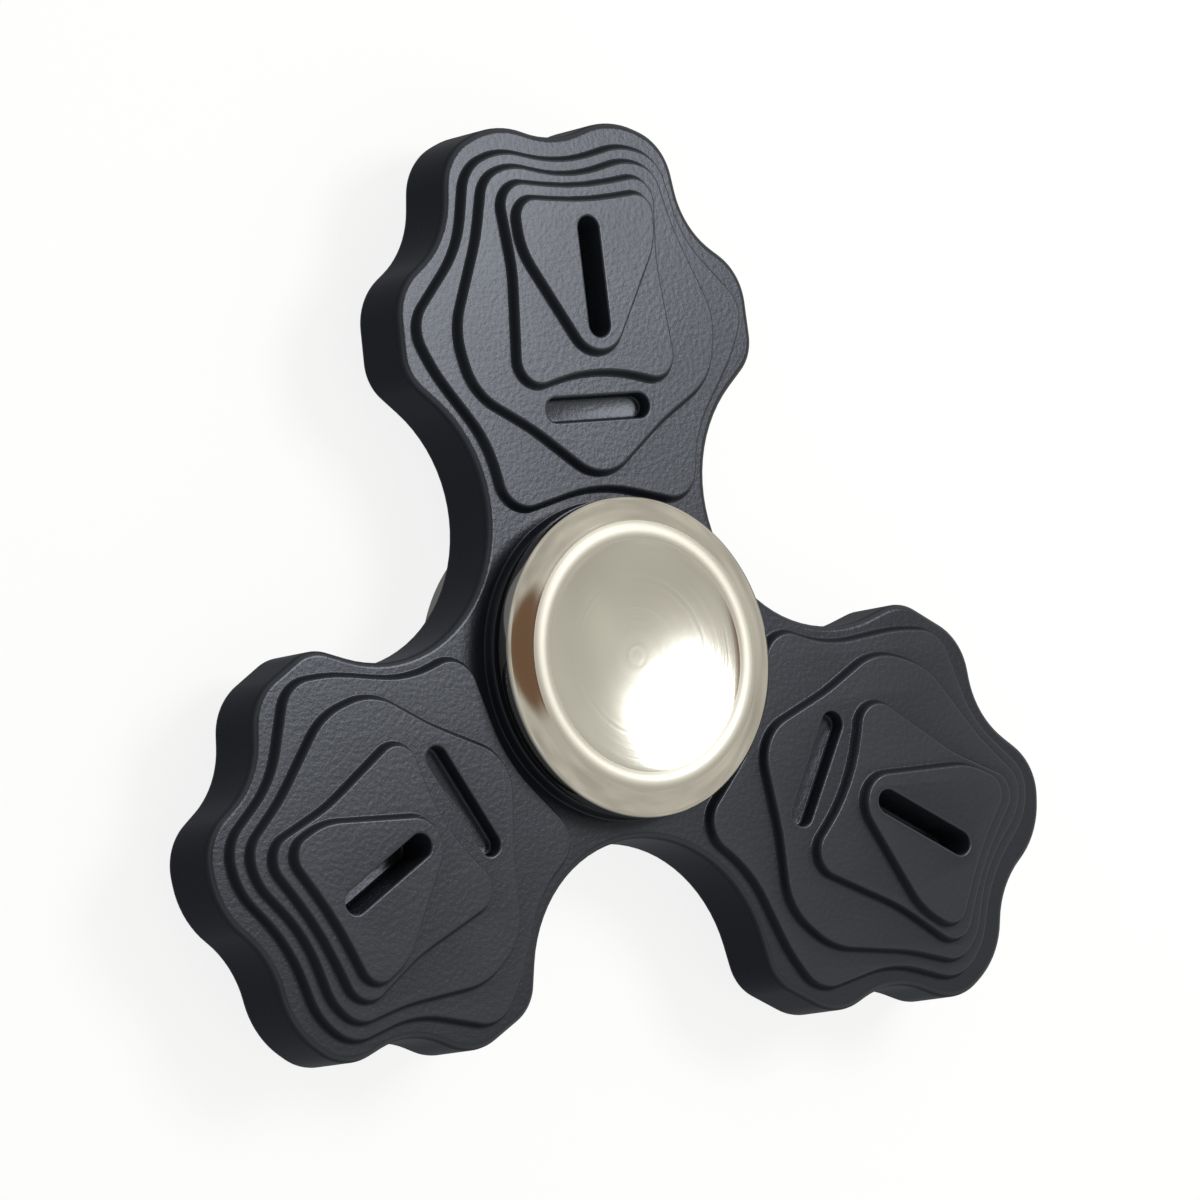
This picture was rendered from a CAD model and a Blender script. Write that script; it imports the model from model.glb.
"""Fidget spinner, lying on its back cap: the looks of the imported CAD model, in the same frame."""

import math

import bmesh
import bpy
from mathutils import Matrix, Vector
from mathutils.geometry import tessellate_polygon


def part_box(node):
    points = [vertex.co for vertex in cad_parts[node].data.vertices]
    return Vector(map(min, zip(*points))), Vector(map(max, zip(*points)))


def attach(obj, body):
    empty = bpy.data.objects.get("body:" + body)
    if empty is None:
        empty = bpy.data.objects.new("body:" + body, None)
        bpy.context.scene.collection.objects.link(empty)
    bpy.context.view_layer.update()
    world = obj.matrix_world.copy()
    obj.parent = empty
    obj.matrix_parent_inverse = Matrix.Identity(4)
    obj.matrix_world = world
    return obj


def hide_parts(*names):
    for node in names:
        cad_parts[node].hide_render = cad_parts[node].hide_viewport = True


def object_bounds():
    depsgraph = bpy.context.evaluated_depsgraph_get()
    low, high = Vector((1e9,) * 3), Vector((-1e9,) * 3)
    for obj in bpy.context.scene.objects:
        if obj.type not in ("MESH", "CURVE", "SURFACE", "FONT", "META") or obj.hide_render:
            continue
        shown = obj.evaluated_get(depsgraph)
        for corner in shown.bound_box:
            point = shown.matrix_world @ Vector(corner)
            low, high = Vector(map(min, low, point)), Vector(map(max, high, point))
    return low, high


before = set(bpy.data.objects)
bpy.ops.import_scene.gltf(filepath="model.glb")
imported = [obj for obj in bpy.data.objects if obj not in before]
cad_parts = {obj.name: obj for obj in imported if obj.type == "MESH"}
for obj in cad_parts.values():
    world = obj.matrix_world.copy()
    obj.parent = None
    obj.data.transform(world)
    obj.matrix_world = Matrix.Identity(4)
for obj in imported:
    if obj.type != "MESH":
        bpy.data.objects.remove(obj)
cad_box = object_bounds()

# Sizes are in millimetres, as in the CAD model, and become metres when a mesh is made.
MM = 0.001

# Body
PLATE_TOP = 2.2
STEP = 0.6
PLATE_EDGE_RADIUS = 0.4
PLATE_INSET = 0.02
WALL_RUN = 0.4
BAY_CENTRE_R = 19.6
BAY_R = 8.7
BOSS_R = 9.8
BORE_R = 6.36
SLOT_HALF_W = 0.75
LONG_SLOT_R = 23.3
LONG_SLOT_LENGTH = 7.4
LONG_SLOT_DEPTH = 3.0
CROSS_SLOT_R = 15.4
CROSS_SLOT_LENGTH = 7.7
CROSS_SLOT_DEPTH = 1.0

# Finger caps
CAP_R = 9.8
CAP_BASE_Z = 3.5
CAP_BAND_Z = 4.6
CAP_RIM_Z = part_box("front_cap")[1].z / MM
CAP_RIM_R = 8.25
DISH_R = 7.1
DISH_BOTTOM_Z = 4.45
RIM_CROWN = 0.13
COLLAR_R = 4.0
SPIGOT_R = 3.165
SPIGOT_END_Z = 0.15
O_RING_Z = 1.2

# Bearing
HALF_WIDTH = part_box("bearing_outer_ring")[1].z / MM

# Right half of each outline of an arm, from the tip to the hub side. Each corner is
# (distance from the arm's centre line, distance from the spin axis, corner radius).
PLATE_CORNERS = [
    (0, 31.9, 12), (4.2, 33.4, 5.4), (8.35, 31.6, 3.6), (9.1, 26.25, 5.5), (13.1, 23.4, 3.8), (13.2, 18.1, 4),
]
TERRACE_CORNERS = [
    [
        (0, 30.75, 20), (4.6, 31.8, 4.6), (7.45, 30.75, 2.8), (8.6, 25.75, 7), (12.8, 21.2, 2.6),
        (11.4, 18.1, 12), (8, 13.6, 8), (7.2, 8.9, 2.6), (0, 10.6, 10.3),
    ],
    [
        (0, 29.8, 20), (4.4, 30.8, 4), (6.6, 30, 2.2), (7.6, 26.2, 12), (10, 20.6, 5),
        (9.1, 16.6, 4.2), (5, 14.2, 14), (0, 10.4, 3.2),
    ],
    [(0, 29.1, 20), (6.15, 29.85, 1.8), (5.6, 24, 12), (6.3, 16.1, 1.8), (0, 17.7, 14)],
    [(0, 28.2, 24), (5.4, 28.7, 1.8), (5.25, 25.1, 5), (0, 16.4, 2.2)],
]
ARC_STEP = math.radians(5)


# ---------------------------------------------------------------- outlines

def rounded_corner(before, corner, after):
    """Points of a corner's arc. The radius shrinks where the sides are too short for it."""
    point = Vector(corner[:2])
    to_before = Vector(before[:2]) - point
    to_after = Vector(after[:2]) - point
    half = to_before.angle(to_after) / 2
    room = 0.49 * min(to_before.length, to_after.length)
    tangent = min(corner[2] / math.tan(half), room)
    radius = tangent * math.tan(half)
    middle = (to_before.normalized() + to_after.normalized()).normalized()
    centre = point + middle * (radius / math.sin(half))
    start = point + to_before.normalized() * tangent - centre
    end = point + to_after.normalized() * tangent - centre
    first = math.atan2(start.y, start.x)
    turn = (math.atan2(end.y, end.x) - first + math.pi) % math.tau - math.pi
    return arc(centre, radius, first, turn)


def arc(centre, radius, first, turn):
    steps = max(1, math.ceil(abs(turn) / ARC_STEP))
    angles = [first + turn * i / steps for i in range(steps + 1)]
    return [Vector((centre[0] + radius * math.cos(a), centre[1] + radius * math.sin(a))) for a in angles]


def mirrored(half):
    """A whole outline from its right half: first its mirror image, from the hub side to the tip."""
    return [(-x, y, r) for x, y, r in reversed(half) if x > 0] + list(half)


def rounded(corners):
    count = len(corners)
    points = []
    for i in range(count):
        points += rounded_corner(corners[i - 1], corners[i], corners[(i + 1) % count])
    return points


def arm_outline():
    """One arm of the plate and the bay on its right, clockwise."""
    bay = Vector((math.sin(math.radians(60)), math.cos(math.radians(60)))) * BAY_CENTRE_R
    last = Vector(PLATE_CORNERS[-1][:2]) - bay
    start = math.atan2(last.y, last.x) + math.acos(BAY_R / last.length)
    entry = bay + BAY_R * Vector((math.cos(start), math.sin(start)))
    corners = mirrored(PLATE_CORNERS + [(entry.x, entry.y, 0)])
    points = []
    for i in range(1, len(corners) - 1):
        points += rounded_corner(corners[i - 1], corners[i], corners[i + 1])
    return points + arc(bay, BAY_R, start, math.radians(420) - 2 * start)


def plate_outline():
    points = []
    for k in range(3):
        points += [turned(p, -k) for p in arm_outline()]
    return points


def turned(point, thirds):
    """A point of arm 1's drawing, carried round by thirds of a turn."""
    angle = math.tau / 3 * thirds
    return Vector((
        point[0] * math.cos(angle) - point[1] * math.sin(angle),
        point[0] * math.sin(angle) + point[1] * math.cos(angle),
    ))


def circle(radius, count=192):
    """Clockwise, like every outline."""
    angles = [math.tau * i / count for i in range(count)]
    return [Vector((radius * math.sin(a), radius * math.cos(a))) for a in angles]


def slot_outline(x, y, half_length, along_x):
    """Slot with round ends, clockwise."""
    reach = half_length - SLOT_HALF_W
    points = []
    for end in (1, -1):
        first = math.pi / 2 if end == 1 else -math.pi / 2
        for p in arc((end * reach, 0), SLOT_HALF_W, first, -math.pi):
            points.append(Vector((x + p.x, y + p.y)) if along_x else Vector((x - p.y, y + p.x)))
    return points


def without_doubles(points):
    """Drops points that lie on the one before."""
    return [p for i, p in enumerate(points) if (p - points[i - 1]).length > 1e-4]


def inset(points, distance):
    """Moves a clockwise outline inwards by a distance, or outwards by a negative one."""
    moved = []
    for i, p in enumerate(points):
        along_in = (p - points[i - 1]).normalized()
        along_out = (points[(i + 1) % len(points)] - p).normalized()
        side = Vector((along_in.y + along_out.y, -along_in.x - along_out.x)).normalized()
        stretch = max(0.5, side.dot(Vector((along_in.y, -along_in.x))))
        moved.append(p + side * (distance / stretch))
    return moved


# ---------------------------------------------------------------- mesh building

class Shell:
    """Collects rings of vertices and the faces between them. Wear is 1 on edges that get rubbed."""

    def __init__(self):
        self.points = []
        self.wear = []
        self.faces = []

    def ring(self, outline, z, wear=0.0):
        start = len(self.points)
        self.points += [(p[0], p[1], z) for p in outline]
        self.wear += [wear] * len(outline)
        return list(range(start, len(self.points)))

    def join(self, ring_a, ring_b):
        count = len(ring_a)
        for i in range(count):
            j = (i + 1) % count
            self.faces.append((ring_a[i], ring_a[j], ring_b[j], ring_b[i]))

    def wall(self, outline, profile):
        """A wall whose section is a list of (inset, z, wear). Returns its first and last ring."""
        rings = [self.ring(inset(outline, d), z, wear) for d, z, wear in profile]
        for a, b in zip(rings, rings[1:]):
            self.join(a, b)
        return rings[0], rings[-1]

    def fill(self, outer, holes=()):
        """Flat face inside one ring and outside the others."""
        loops = [outer, *holes]
        used = [v for loop in loops for v in loop]
        drawn = [[Vector(self.points[v]) for v in loop] for loop in loops]
        self.faces += [tuple(used[i] for i in triangle) for triangle in tessellate_polygon(drawn)]

    def mirror_down(self):
        """Adds the back half, a mirror image that shares the vertices at z = 0."""
        twin = {}
        for i, (x, y, z) in enumerate(list(self.points)):
            if abs(z) < 1e-9:
                twin[i] = i
            else:
                twin[i] = len(self.points)
                self.points.append((x, y, -z))
                self.wear.append(self.wear[i])
        self.faces += [tuple(twin[v] for v in reversed(face)) for face in list(self.faces)]

    def build(self, name):
        mesh = bpy.data.meshes.new(name)
        mesh.from_pydata([Vector(p) * MM for p in self.points], [], self.faces)
        attribute = mesh.attributes.new("wear", "FLOAT", "POINT")
        attribute.data.foreach_set("value", self.wear)
        return finished(mesh, name)


def finished(mesh, name):
    """A linked, smooth-shaded object with its faces turned outwards."""
    mesh.validate()
    piece = bpy.data.objects.new(name, mesh)
    bpy.context.collection.objects.link(piece)
    bm = bmesh.new()
    bm.from_mesh(mesh)
    bmesh.ops.recalc_face_normals(bm, faces=bm.faces)
    bm.to_mesh(mesh)
    bm.free()
    mesh.polygons.foreach_set("use_smooth", [True] * len(mesh.polygons))
    return piece


def soft_step(run, bottom, top, rings=8):
    """Section of a terrace wall: an S-curve from one flat to the next, worn along its upper edge."""
    profile = [(-0.03, bottom, 0)]
    for i in range(rings + 1):
        t = i / rings
        rise = t * t * (3 - 2 * t)
        profile.append((run * t, bottom + (top - bottom) * rise, max(0, 2 * t - 1)))
    profile.append((run + 0.05, top, 0.4))
    return profile


def round_edge(radius, side_z, top, start=0.0, rings=6):
    """Section of a side wall that goes up and rolls over into the face above."""
    profile = [(start, side_z, 0), (start, top - radius - 0.1, 0)]
    for i in range(rings + 1):
        a = math.pi / 2 * i / rings
        run = start + radius * (1 - math.cos(a))
        profile.append((run, top - radius + radius * math.sin(a), math.sin(2 * a)))
    profile.append((start + radius + 0.02, top, 0))
    return profile


def slot_section(top, depth, edge=0.12, floor=0.2):
    """Section of a slot, from the face down its wall to the floor, worked from the wall inwards."""
    profile = [(-edge - 0.05, top, 0)]
    for i in range(5):
        a = math.pi / 2 * i / 4
        profile.append((-edge + edge * math.sin(a), top - edge + edge * math.cos(a), 1 - 0.5 * math.sin(a)))
    for i in range(5):
        a = math.pi / 2 * i / 4
        profile.append((floor - floor * math.cos(a), top - depth + floor - floor * math.sin(a), 0))
    return profile


# ---------------------------------------------------------------- the body

def build_body():
    shell = Shell()
    heights = [PLATE_TOP + STEP * level for level in range(5)]

    plate = without_doubles(plate_outline())
    _, plate_rim = shell.wall(plate, round_edge(PLATE_EDGE_RADIUS, 0, PLATE_TOP, PLATE_INSET))

    boss_base, boss_top = shell.wall(circle(BOSS_R), soft_step(0.3, PLATE_TOP, heights[1]))
    bore_section = [(-0.3, heights[1], 0), (-0.25, heights[1], 1), (0, heights[1] - 0.25, 1), (0, 0, 0)]
    bore_top, _ = shell.wall(circle(BORE_R), bore_section)
    shell.join(boss_top, bore_top)

    face_holes = [boss_base]
    for k in range(3):
        face_holes.append(build_terraces(shell, k, heights))
    shell.fill(plate_rim, face_holes)
    shell.mirror_down()
    return shell.build("body_shell")


def build_terraces(shell, arm, heights):
    """The four terraces of an arm. Returns the lowest ring, where they stand on the plate."""
    def place(points):
        return [turned(p, -arm) for p in without_doubles(points)]

    slots = {
        2: (slot_outline(0, CROSS_SLOT_R, CROSS_SLOT_LENGTH / 2, True), CROSS_SLOT_DEPTH),
        4: (slot_outline(0, LONG_SLOT_R, LONG_SLOT_LENGTH / 2, False), LONG_SLOT_DEPTH),
    }
    bases = []
    flats = []
    for level in range(1, 5):
        outline = place(rounded(mirrored(TERRACE_CORNERS[level - 1])))
        base, top = shell.wall(outline, soft_step(WALL_RUN, heights[level - 1], heights[level]))
        bases.append(base)
        holes = []
        if level in slots:
            drawn, depth = slots[level]
            mouth, floor = shell.wall(place(drawn), slot_section(heights[level], depth))
            shell.fill(floor)
            holes.append(mouth)
        flats.append((top, holes))
    for i, (top, holes) in enumerate(flats):
        shell.fill(top, holes + bases[i + 1:i + 2])
    return bases[0]


# ---------------------------------------------------------------- turned pieces

def lathe(name, section, flip, segments=192):
    """Turns a section of (radius, z) points round the spin axis. Points on the axis become poles."""
    side = -1 if flip else 1
    points = []
    faces = []
    rows = []
    for r, z in section:
        if r < 1e-6:
            rows.append([len(points)] * segments)
            points.append((0, 0, side * z * MM))
            continue
        rows.append(list(range(len(points), len(points) + segments)))
        for i in range(segments):
            a = math.tau * i / segments
            points.append((r * math.cos(a) * MM, r * math.sin(a) * MM, side * z * MM))
    for lower, upper in zip(rows, rows[1:]):
        for i in range(segments):
            j = (i + 1) % segments
            corners = list(dict.fromkeys((lower[i], lower[j], upper[j], upper[i])))
            if len(corners) > 2:
                faces.append(corners)
    mesh = bpy.data.meshes.new(name)
    mesh.from_pydata(points, [], faces)
    return finished(mesh, name)


def bend(centre, radius, first, last, steps=6):
    """Points of an arc in a section, angles in degrees."""
    angles = [math.radians(first + (last - first) * i / steps) for i in range(steps + 1)]
    return [(centre[0] + radius * math.cos(a), centre[1] + radius * math.sin(a)) for a in angles]


def cap_section():
    """From the middle of the dish over the rim and chamfer, under the cap and down the spigot."""
    dish_edge_z = CAP_RIM_Z - RIM_CROWN
    rise = dish_edge_z - DISH_BOTTOM_Z
    sphere_r = (DISH_R ** 2 + rise ** 2) / (2 * rise)
    dish = []
    for i in range(25):
        r = DISH_R * i / 24
        dish.append((r, DISH_BOTTOM_Z + sphere_r - math.sqrt(sphere_r ** 2 - r ** 2)))
    middle = (DISH_R + CAP_RIM_R) / 2
    half = (CAP_RIM_R - DISH_R) / 2
    crown = []
    for i in range(1, 12):
        t = -1 + 2 * i / 12
        crown.append((middle + half * t, CAP_RIM_Z - RIM_CROWN * t * t))
    chamfer_end = (CAP_R - 0.08, CAP_BAND_Z + 0.03)
    chamfer = []
    for i in range(9):
        t = i / 8
        bulge = 0.06 * math.sin(math.pi * t)
        chamfer.append((
            CAP_RIM_R + (chamfer_end[0] - CAP_RIM_R) * t,
            dish_edge_z + (chamfer_end[1] - dish_edge_z) * t + bulge,
        ))
    band = bend((CAP_R - 0.12, CAP_BAND_Z - 0.1), 0.12, 60, 0, 4)
    band += bend((CAP_R - 0.3, CAP_BASE_Z + 0.3), 0.3, 0, -90)
    collar = [(COLLAR_R + 0.2, CAP_BASE_Z)] + bend((COLLAR_R + 0.2, CAP_BASE_Z - 0.2), 0.2, 90, 180, 4)
    collar += [(COLLAR_R, HALF_WIDTH + 0.1), (COLLAR_R - 0.1, HALF_WIDTH), (SPIGOT_R, HALF_WIDTH)]
    groove_r = SPIGOT_R - 0.67
    spigot = [
        (SPIGOT_R, O_RING_Z + 0.42), (SPIGOT_R - 0.02, O_RING_Z + 0.4), (groove_r, O_RING_Z + 0.4),
        (groove_r, O_RING_Z - 0.4), (SPIGOT_R - 0.02, O_RING_Z - 0.4), (SPIGOT_R, O_RING_Z - 0.42),
        (SPIGOT_R, SPIGOT_END_Z + 0.25), (SPIGOT_R - 0.25, SPIGOT_END_Z), (0, SPIGOT_END_Z),
    ]
    return dish + crown + chamfer + band + collar + spigot


# ---------------------------------------------------------------- materials

def new_material(name):
    material = bpy.data.materials.new(name)
    material.use_nodes = True
    nodes = material.node_tree.nodes
    return material, nodes, material.node_tree.links, nodes["Principled BSDF"]


def noise(nodes, links, coordinates, scale, detail=3.0):
    texture = nodes.new("ShaderNodeTexNoise")
    texture.inputs["Scale"].default_value = scale
    texture.inputs["Detail"].default_value = detail
    links.new(coordinates, texture.inputs["Vector"])
    return texture.outputs["Fac"]


def spread(nodes, links, value, low, high):
    """Maps a 0..1 value to a range."""
    node = nodes.new("ShaderNodeMapRange")
    node.inputs["To Min"].default_value = low
    node.inputs["To Max"].default_value = high
    links.new(value, node.inputs["Value"])
    return node.outputs["Result"]


def blend(nodes, links, low, high, factor):
    """A colour that goes from one to another. Each end is a constant colour or a socket."""
    mix = nodes.new("ShaderNodeMix")
    mix.data_type = "RGBA"
    for name, end in (("A", low), ("B", high)):
        if isinstance(end, tuple):
            mix.inputs[name].default_value = (*end, 1)
        else:
            links.new(end, mix.inputs[name])
    links.new(factor, mix.inputs["Factor"])
    return mix.outputs["Result"]


def anodised_black():
    """Bead-blasted, black anodised aluminium: fine grain, slight mottling, polished worn edges."""
    material, nodes, links, shader = new_material("anodised_black")
    place = nodes.new("ShaderNodeTexCoord").outputs["Object"]
    wear = nodes.new("ShaderNodeAttribute")
    wear.attribute_name = "wear"
    mottle = noise(nodes, links, place, 180, 4)
    grain = noise(nodes, links, place, 3200, 4)

    tone = blend(nodes, links, (0.012, 0.014, 0.021), (0.019, 0.022, 0.031), mottle)
    amount = nodes.new("ShaderNodeMath")
    amount.operation = "MULTIPLY"
    amount.inputs[1].default_value = 0.6
    links.new(wear.outputs["Fac"], amount.inputs[0])
    rubbed = blend(nodes, links, tone, (0.06, 0.066, 0.078), amount.outputs[0])
    links.new(rubbed, shader.inputs["Base Color"])

    links.new(spread(nodes, links, mottle, 0.23, 0.3), shader.inputs["Roughness"])
    bump = nodes.new("ShaderNodeBump")
    bump.inputs["Strength"].default_value = 0.45
    bump.inputs["Distance"].default_value = 0.00003
    links.new(grain, bump.inputs["Height"])
    links.new(bump.outputs["Normal"], shader.inputs["Normal"])
    shader.inputs["Specular IOR Level"].default_value = 0.5
    shader.inputs["Specular Tint"].default_value = (0.83, 0.88, 1, 1)
    return material


def turned_metal(name, colour, roughness, ring_scale, ring_depth):
    """Metal from a lathe: faint rings round the spin axis over soft mottling."""
    material, nodes, links, shader = new_material(name)
    place = nodes.new("ShaderNodeTexCoord").outputs["Object"]
    split = nodes.new("ShaderNodeSeparateXYZ")
    links.new(place, split.inputs["Vector"])
    flat = nodes.new("ShaderNodeCombineXYZ")
    links.new(split.outputs["X"], flat.inputs["X"])
    links.new(split.outputs["Y"], flat.inputs["Y"])
    radius = nodes.new("ShaderNodeVectorMath")
    radius.operation = "LENGTH"
    links.new(flat.outputs["Vector"], radius.inputs[0])
    along = nodes.new("ShaderNodeCombineXYZ")
    links.new(radius.outputs["Value"], along.inputs["X"])
    links.new(split.outputs["Z"], along.inputs["Z"])
    rings = noise(nodes, links, along.outputs["Vector"], ring_scale, 2)
    mottle = noise(nodes, links, place, 160, 4)

    duller = tuple(c * 0.93 for c in colour)
    links.new(blend(nodes, links, duller, colour, mottle), shader.inputs["Base Color"])
    links.new(spread(nodes, links, rings, roughness * 0.8, roughness * 1.2), shader.inputs["Roughness"])
    bump = nodes.new("ShaderNodeBump")
    bump.inputs["Strength"].default_value = ring_depth
    bump.inputs["Distance"].default_value = 0.00001
    links.new(rings, bump.inputs["Height"])
    links.new(bump.outputs["Normal"], shader.inputs["Normal"])
    shader.inputs["Metallic"].default_value = 1.0
    return material


def black_rubber():
    material, nodes, links, shader = new_material("black_rubber")
    place = nodes.new("ShaderNodeTexCoord").outputs["Object"]
    dust = noise(nodes, links, place, 900, 4)
    tone = blend(nodes, links, (0.012, 0.012, 0.012), (0.03, 0.03, 0.03), dust)
    links.new(tone, shader.inputs["Base Color"])
    links.new(spread(nodes, links, dust, 0.5, 0.7), shader.inputs["Roughness"])
    return material


def paint(piece, *materials):
    piece.data.materials.clear()
    for material in materials:
        piece.data.materials.append(material)


# ---------------------------------------------------------------- the spinner

body_black = anodised_black()
polished_nickel = turned_metal("polished_nickel", (0.8, 0.77, 0.7), 0.1, 2500, 0.1)
dish_nickel = turned_metal("dish_nickel", (0.8, 0.78, 0.71), 0.17, 4200, 0.5)
rim_nickel = turned_metal("rim_nickel", (0.7, 0.68, 0.61), 0.5, 4200, 0.5)
ring_steel = turned_metal("ground_steel", (0.56, 0.56, 0.57), 0.2, 5000, 0.4)
ball_steel = turned_metal("ball_steel", (0.75, 0.75, 0.77), 0.06, 800, 0.05)
rubber = black_rubber()

body = build_body()
paint(body, body_black)
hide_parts("body")
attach(body, "rotor")

DISH_SLOT = 1
RIM_SLOT = 2
for side, flip in (("front", False), ("back", True)):
    cap = lathe(f"{side}_cap_turned", cap_section(), flip)
    paint(cap, polished_nickel, dish_nickel, rim_nickel)
    for face in cap.data.polygons:
        radius = face.center.to_2d().length / MM
        if abs(face.center.z) > CAP_BASE_Z * MM and radius < CAP_RIM_R:
            face.material_index = DISH_SLOT if radius < DISH_R - 0.05 else RIM_SLOT
    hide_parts(f"{side}_cap")
    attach(cap, f"{side}_cap")

for name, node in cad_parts.items():
    if name.startswith("ball_") and name != "ball_cage":
        paint(node, ball_steel)
    elif name.endswith("o_ring"):
        paint(node, rubber)
    elif name not in ("body", "front_cap", "back_cap"):
        paint(node, ring_steel)


# ---------------------------------------------------------------- studio

def floor_material():
    """Pale floor that glows, so that shadows on it stay faint."""
    material, nodes, links, shader = new_material("pale_floor")
    place = nodes.new("ShaderNodeTexCoord").outputs["Object"]
    tone = blend(nodes, links, (0.19, 0.19, 0.19), (0.21, 0.21, 0.21), noise(nodes, links, place, 20, 3))
    links.new(tone, shader.inputs["Base Color"])
    shader.inputs["Roughness"].default_value = 0.9
    shader.inputs["Emission Color"].default_value = (1, 1, 1, 1)
    shader.inputs["Emission Strength"].default_value = 0.85
    return material


def build_floor(z, reach=3.0):
    """Seen by the camera only: what the spinner mirrors below the horizon is the world's dark half."""
    mesh = bpy.data.meshes.new("floor")
    corners = [(x * reach, y * reach, z) for x, y in ((-1, -1), (1, -1), (1, 1), (-1, 1))]
    mesh.from_pydata(corners, [], [(0, 1, 2, 3)])
    floor = bpy.data.objects.new("floor", mesh)
    bpy.context.collection.objects.link(floor)
    paint(floor, floor_material())
    floor.visible_glossy = False
    floor.visible_diffuse = False


def soft_box(name, place, size, power):
    """Square light that faces the spinner."""
    data = bpy.data.lights.new(name, "AREA")
    data.shape = "SQUARE"
    data.size = size
    data.energy = power
    light = bpy.data.objects.new(name, data)
    light.location = place
    light.rotation_euler = (-Vector(place)).to_track_quat("-Z", "Y").to_euler()
    light.visible_camera = False
    bpy.context.collection.objects.link(light)


def toward(nodes, links, direction, axis, low, high):
    """0 to 1 as the direction turns toward an axis, from one angle to another, in degrees."""
    product = nodes.new("ShaderNodeVectorMath")
    product.operation = "DOT_PRODUCT"
    product.inputs[1].default_value = Vector(axis).normalized()
    links.new(direction, product.inputs[0])
    node = nodes.new("ShaderNodeMapRange")
    node.inputs["From Min"].default_value = math.cos(math.radians(low))
    node.inputs["From Max"].default_value = math.cos(math.radians(high))
    links.new(product.outputs["Value"], node.inputs["Value"])
    return node.outputs["Result"]


def studio_world():
    """A pale, uneven room on the key light's side, with a brown card over the spinner."""
    world = bpy.data.worlds.new("studio")
    world.use_nodes = True
    nodes = world.node_tree.nodes
    links = world.node_tree.links
    direction = nodes.new("ShaderNodeTexCoord").outputs["Generated"]

    room = blend(nodes, links, (0.2, 0.19, 0.16), (0.86, 0.84, 0.76), noise(nodes, links, direction, 4, 3))
    over_spinner = toward(nodes, links, direction, (-0.085, 0.126, 0.987), 20, 15)
    with_card = blend(nodes, links, room, (0.17, 0.1, 0.06), over_spinner)
    key_side = toward(nodes, links, direction, (0.5, 0.1, 0.85), 88, 66)
    lit_side = blend(nodes, links, (0.15, 0.155, 0.165), with_card, key_side)
    links.new(lit_side, nodes["Background"].inputs["Color"])
    bpy.context.scene.world = world


build_floor(cad_box[0].z)
soft_box("key", (0.09, 0.057, 0.182), 0.075, 0.158)
studio_world()
bpy.context.scene.view_settings.view_transform = "Standard"


# ---------------------------------------------------------------- camera

CAMERA_TILT = math.radians(36.1)
CAMERA_AZIMUTH = math.radians(-174.6)
CAMERA_ROLL = math.radians(6.76)
CAMERA_DISTANCE = 0.6
CAMERA_LENS = 294.7
AIM = Vector((0.9, 3.93, 0)) * MM

back = Vector((
    math.sin(CAMERA_TILT) * math.cos(CAMERA_AZIMUTH),
    math.sin(CAMERA_TILT) * math.sin(CAMERA_AZIMUTH),
    math.cos(CAMERA_TILT),
))
level = Vector((0, 1, 0)).cross(back).normalized()
upright = back.cross(level)
up = upright * math.cos(CAMERA_ROLL) + level * math.sin(CAMERA_ROLL)
right = up.cross(back)
camera_data = bpy.data.cameras.new("camera")
camera_data.sensor_width = 36
camera_data.lens = CAMERA_LENS
camera_data.clip_start = 0.01
camera = bpy.data.objects.new("camera", camera_data)
turn = Matrix((right, up, back)).transposed().to_4x4()
camera.matrix_world = Matrix.Translation(AIM + back * CAMERA_DISTANCE) @ turn
bpy.context.collection.objects.link(camera)
bpy.context.scene.camera = camera
